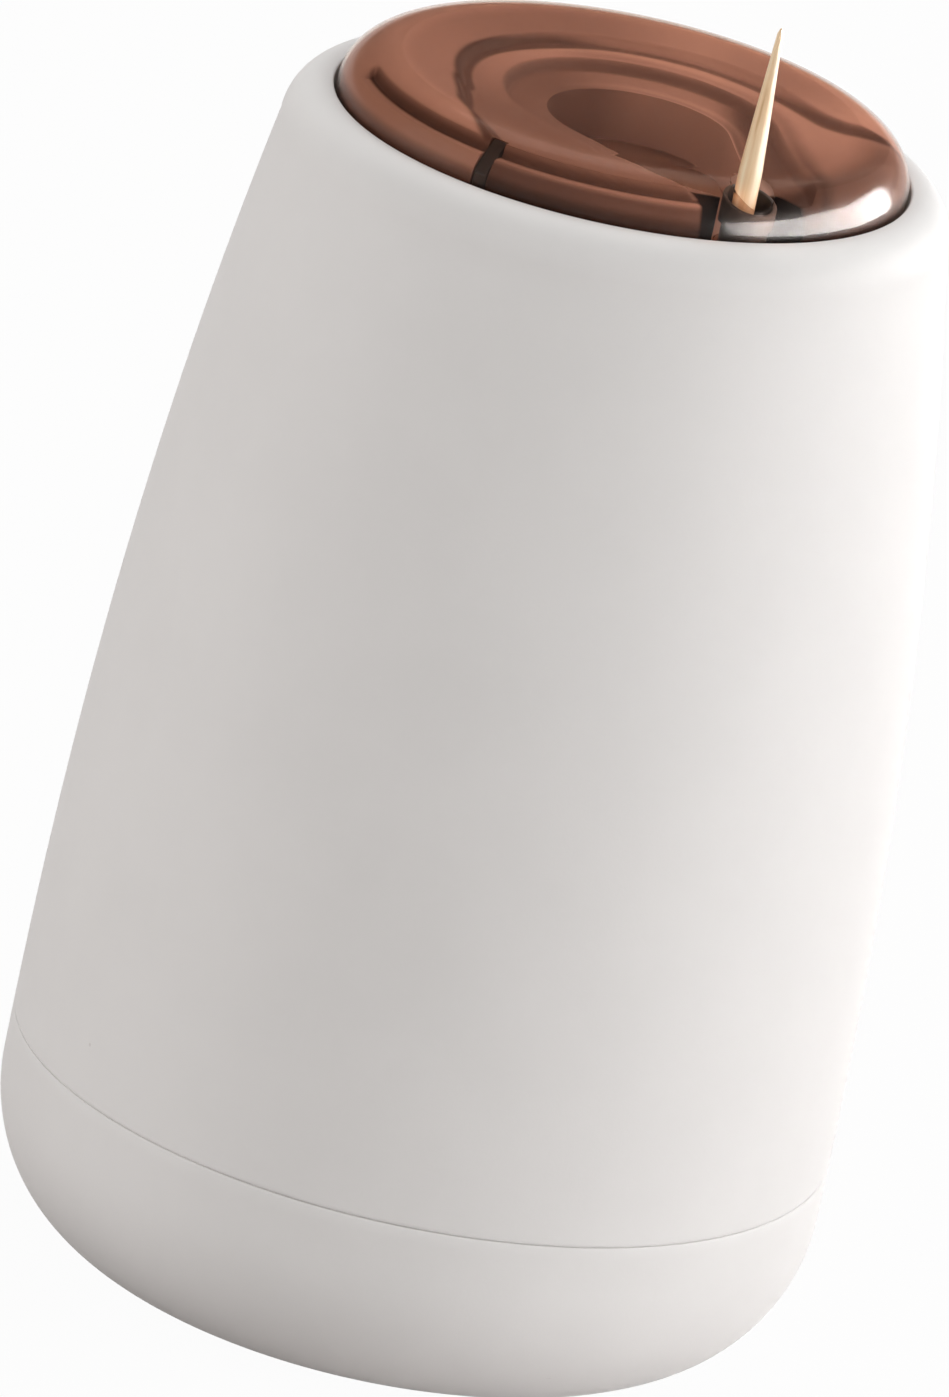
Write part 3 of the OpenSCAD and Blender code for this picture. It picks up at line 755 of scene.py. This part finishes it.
def plate_height(x, y):
    """Height of the insert's top: a terrace, a lower field, a funnel round the well, a ledge."""
    out = np.hypot(x, y)
    ring = comma_distance(x, y, RING_R, FUNNEL_R)
    well = comma_distance(x, y, WELL_R, POCKET_R)
    height = PLATE_TOP - DISH * within(out - TERRACE_R - 2 * MM, DISH_EDGE)
    height -= FIELD_STEP * within(field_distance(x, y), 0.7 * MM)
    height -= RING_STEP * within(ring, 0.8 * MM)
    height -= FUNNEL_DEPTH * np.clip(1 - well / (RING_R - WELL_R), 0, 1) ** 1.3
    for start, power in ((LID_FLAT_R, 2), (LID_FLAT_R - 3.4 * MM, 4)):
        past = np.clip((out - start) / (PLATE_R - start), 0, 1)
        height = np.minimum(height, RIM_Z + (PLATE_TOP - RIM_Z) * np.sqrt(1 - past ** power))
    return height + (np.minimum(height, LEDGE_Z) - height) * over_ledge(x, y, LEDGE_EDGE)


def make_plate():
    inner, outer = ray_comma(WELL_R, POCKET_R), ray_circle(PLATE_R)
    inner = np.minimum(inner, outer - 0.15 * MM)
    loops = [ray_points(inner, LID_SEAT)]
    shares = np.sin(np.linspace(0, 1, 151) * math.pi / 2) ** 0.9
    for share in shares:
        reach = inner + (outer - inner) * share
        points = ray_points(reach, 0.0)
        points[:, 2] = plate_height(points[:, 0], points[:, 1])
        loops.append(points)
    loops.append(ray_points(outer, LID_SEAT))
    plate = loft("insert_plate", loops, sharp=60)
    room = BOSS_R + FIT_GAP
    cut(plate, spin_solid("boss", [(room, LID_SEAT - MM), (room, LID_TOP)], HOLE[:2]))
    cut(plate, edge_block("pocket", LEDGE_TO, POCKET_TO, HOLE.length - POCKET_IN, PLATE_R + MM,
                          PLATE_LOW, LID_TOP))
    cut(plate, catch_block("slot", FIT_GAP, LID_SEAT - MM, LID_TOP))
    # Painted light and shade on the insert's points.
    paint(plate, "painted_shading", plate_shade)
    return dress(plate, PLATE_BROWN, "barrel", "insert_brown", "guide_plate")


def edge_block(name, start, end, inner, outer, low, high):
    """A block over a turn about the axis, given in degrees."""
    section = [(inner, low), (outer, low), (outer, high), (inner, high)]
    loops = [[(r * math.cos(t), r * math.sin(t), z) for r, z in section]
             for t in np.radians(np.linspace(start, end, 24))]
    return loft(name, loops, closed=False)


def catch_block(name, gap, low, high, edge=0.0):
    """A block along the catch's radius."""
    half_width, inward, short = 0.6 * MM, 0.6 * MM, 0.05 * MM
    near, far, half = LEDGE_R - inward - gap, PLATE_R - short + gap, half_width + gap
    corners = [(near, -half), (far, -half), (far, half), (near, half)]
    turn = Matrix.Rotation(CATCH_ANGLE, 3, "Z")
    outline = rounded([Vector((a, b)) for a, b in corners], [edge] * 4, 4)
    loops = [[turn @ Vector((p.x, p.y, z)) for p in outline] for z in (low, high)]
    return loft(name, loops, closed=False)


def make_catch():
    under_lid = 0.35 * MM
    catch = catch_block("catch_key", 0, CATCH_LOW.z, CATCH_HIGH.z, 0.25 * MM)
    for vert in catch.data.vertices:
        if vert.co.z > CATCH_HIGH.z - FIT_GAP:
            vert.co.z = max(CATCH_HIGH.z - MM, lid_height(vert.co.x, vert.co.y) - LID_WALL - under_lid)
    return dress(catch, SOFT_BLACK, "barrel", "soft_black", "lid_catch")


def barrel_shade(x, y):
    """Painted shade under the pocket beside the hole."""
    shade = 1 - POCKET_LOSS * by_pocket(x, y)
    return np.stack([shade] * 3, -1)


def make_barrel():
    """The chamber, its deck, its outer wall and the skirt under it."""
    wall, deck = 1.4 * MM, 2 * MM
    edge, bend = 0.3 * MM, 0.3
    shoulder = MOUTH_UNDER - 1.2 * MM
    under = shoulder - wall
    neck, skirt = ray_circle(LID_R), ray_circle(BARREL_HIGH.x)
    skirt_in = ray_circle(BARREL_HIGH.x - wall)
    inner = np.minimum(ray_comma(CHAMBER_R, POCKET_R), ray_circle(LID_R - edge))
    tube = np.minimum(ray_comma(CHAMBER_R + wall, POCKET_R + wall), ray_circle(LID_R - 0.02 * MM))
    neck_in = np.maximum(ray_circle(LID_R - wall), tube + 0.01 * MM)
    loops = [ray_points(inner, z) for z in np.linspace(FLOOR_TOP, LID_SEAT - edge, 8)]
    loops += [ray_points(reach, z) for reach, z in (
        (inner + bend * edge, LID_SEAT - bend * edge), (inner + edge, LID_SEAT),
        (ray_circle(LID_R - edge), LID_SEAT), (neck, LID_SEAT - edge), (neck, shoulder),
        (ray_circle(BARREL_HIGH.x - edge), shoulder), (skirt, shoulder - edge), (skirt, BARREL_LOW.z),
        (skirt_in, BARREL_LOW.z), (skirt_in, under), (neck_in, under + 0.1 * MM),
        (neck_in, LID_SEAT - deck), (tube, LID_SEAT - deck), (tube, FLOOR_TOP))]
    barrel = loft("barrel_body", loops)
    cut(barrel, catch_block("slot", FIT_GAP, LID_SEAT - deck / 2, LID_SEAT + MM))
    # Painted shade under the pocket, on the barrel's points.
    paint(barrel, "painted_shading", barrel_shade)
    return dress(barrel, BARREL_BROWN, "barrel", "barrel_brown", "toothpick_barrel")


# The toothpick

def make_pick():
    segments, rows = 40, 150
    taper, tip, tip_share = 12 * MM, 0.2 * MM, 0.12
    angles = np.arange(segments) * TAU / segments
    loops = []
    for z in np.linspace(PICK_LOW.z, PICK_HIGH.z, rows):
        left = min(z - PICK_LOW.z, PICK_HIGH.z - z)
        radius = PICK_R if left >= taper else tip + (PICK_R - tip) * (left / taper) ** 0.92
        if left < tip:
            radius *= math.sqrt(max(tip_share, 1 - (1 - left / tip) ** 2))
        flat = 1 + 0.012 * np.sin(3 * angles + 1.3) + 0.01 * np.sin(5 * angles + z / MM * 0.11)
        reach = radius * np.minimum(flat, 1.0)
        loops.append(np.stack([HOLE.x + PICK_SHIFT + reach * np.cos(angles), HOLE.y + reach * np.sin(angles),
                               np.full(segments, z)], 1))
    pick = loft("bamboo_pick", loops, closed=False, sharp=60)
    return dress(pick, BAMBOO, "pick", "bamboo", "toothpick")


# Studio

def white_to_camera(tree, shader, share):
    """Adds white light that only the camera, glossy and clear surfaces see."""
    path = tree.nodes.new("ShaderNodeLightPath")
    seen = path.outputs["Is Camera Ray"]
    for ray in ("Is Glossy Ray", "Is Transmission Ray"):
        seen = combine(tree, "MAXIMUM", seen, path.outputs[ray])
    scale = tree.nodes.new("ShaderNodeMath")
    scale.operation = "MULTIPLY"
    scale.inputs[1].default_value = share
    tree.links.new(seen, scale.inputs[0])
    glow = tree.nodes.new("ShaderNodeEmission")
    mix = tree.nodes.new("ShaderNodeMixShader")
    tree.links.new(scale.outputs[0], mix.inputs["Fac"])
    tree.links.new(shader, mix.inputs[1])
    tree.links.new(glow.outputs[0], mix.inputs[2])
    return mix.outputs[0]


def combine(tree, operation, first, second):
    """A Math node over two values."""
    node = tree.nodes.new("ShaderNodeMath")
    node.operation = operation
    tree.links.new(first, node.inputs[0])
    tree.links.new(second, node.inputs[1])
    return node.outputs[0]


def make_floor():
    half, grey, dark_grey = 6.0, (0.42, 0.39, 0.38), (0.41, 0.38, 0.37)
    corners = [(-half, -half, 0), (half, -half, 0), (half, half, 0), (-half, half, 0)]
    floor = add_mesh("floor", corners, [(0, 1, 2, 3)])
    made, tree, shader = material("floor_white", grey, 0.9)
    tree.links.new(ramp(tree, noise(tree, 3, 2), [(0.3, dark_grey), (0.7, grey)]), shader.inputs["Base Color"])
    surface = white_to_camera(tree, shader.outputs["BSDF"], 0.965)
    tree.links.new(surface, tree.nodes["Material Output"].inputs["Surface"])
    floor.data.materials.append(made)


def world_step(tree, value, start, end, low, high):
    """Turns smoothly from one value to another."""
    node = tree.nodes.new("ShaderNodeMapRange")
    node.interpolation_type = "SMOOTHSTEP"
    for name, setting in {"From Min": start, "From Max": end, "To Min": low, "To Max": high}.items():
        node.inputs[name].default_value = setting
    tree.links.new(value, node.inputs["Value"])
    return node.outputs["Result"]


def make_world():
    """Even pale light that falls off behind and above, with a white line at the horizon."""
    world = bpy.data.worlds.new("studio")
    bpy.context.scene.world = world
    world.use_nodes = True
    tree = world.node_tree
    place = tree.nodes.new("ShaderNodeTexCoord")
    parts = tree.nodes.new("ShaderNodeSeparateXYZ")
    tree.links.new(place.outputs["Generated"], parts.inputs["Vector"])
    toward = tree.nodes.new("ShaderNodeVectorMath")
    toward.operation = "DOT_PRODUCT"
    toward.inputs[1].default_value = (0, 1, 0.6)
    tree.links.new(place.outputs["Generated"], toward.inputs[0])
    sky = world_step(tree, toward.outputs["Value"], -0.3, 0.8, 0.68, 0.08)
    glow = world_step(tree, parts.outputs["Z"], 0.03, 0.12, 0.9, 0.0)
    light = tree.nodes["Background"]
    light.inputs["Color"].default_value = (1.0, 0.995, 0.985, 1)
    tree.links.new(combine(tree, "MAXIMUM", sky, glow), light.inputs["Strength"])


def add_lamp(name, azimuth, elevation, size, power, colour=(1, 1, 1), reflected=False):
    """An area lamp that faces the holder. Azimuth 0 is in front of it, 90 to its right.

    A reflected lamp shows in gloss alone. The others light surfaces and don't show in gloss.
    """
    data = bpy.data.lights.new(name, "AREA")
    data.shape = "RECTANGLE"
    data.size, data.size_y = size
    data.energy = power
    data.color = colour
    lamp = bpy.data.objects.new(name, data)
    a, e = math.radians(azimuth), math.radians(elevation)
    out = Vector((math.sin(a) * math.cos(e), -math.cos(a) * math.cos(e), math.sin(e)))
    lamp.location = Vector((0, 0, LAMP_AIM_Z)) + out * LAMP_DISTANCE
    lamp.rotation_euler = (-out).to_track_quat("-Z", "Y").to_euler()
    lamp.visible_glossy = reflected
    lamp.visible_diffuse = lamp.visible_transmission = not reflected
    bpy.context.scene.collection.objects.link(lamp)


def make_lamps():
    add_lamp("right_box", 74, 21, (0.35, 0.5), 1.97)
    add_lamp("back_box", 132, 28, (0.6, 0.4), 1.2)
    add_lamp("left_box", -80, 18, (0.4, 0.5), 1.75, (1.0, 0.98, 0.965))
    add_lamp("top_box", 175, 55, (0.4, 0.3), 2.0)
    add_lamp("streak_strip", 93, 13, (1.3, 0.42), 76.0, reflected=True)


def make_camera():
    data = bpy.data.cameras.new("camera")
    data.lens = CAMERA_LENS
    data.sensor_width = CAMERA_SENSOR
    data.clip_start, data.clip_end = 0.05, 20
    camera = bpy.data.objects.new("camera", data)
    e = math.radians(CAMERA_ELEVATION)
    back = Vector((0, -math.cos(e), math.sin(e)))
    camera.location = Vector(CAMERA_TARGET) + back * CAMERA_DISTANCE
    turn = (-back).to_track_quat("-Z", "Y").to_matrix() @ Matrix.Rotation(math.radians(CAMERA_ROLL), 3, "Z")
    camera.rotation_euler = turn.to_euler()
    bpy.context.scene.collection.objects.link(camera)
    bpy.context.scene.camera = camera


make_camera()
make_shell()
make_base()
make_foot()
make_lid()
make_bush()
make_plate()
make_catch()
make_barrel()
make_pick()
for name, look in {"base_screws": PLAIN_STEEL, "guide_sleeve": SLEEVE_PLASTIC, "stop_ring": SOFT_BLACK,
                   "spring_seat": PLAIN_STEEL, "return_spring": SPRING_STEEL, "ejector_pin": PLAIN_STEEL,
                   "barrel_floor": FLOOR_BROWN}.items():
    keep_node(name, look)
make_floor()
make_world()
make_lamps()
bpy.context.scene.view_settings.view_transform = "Standard"
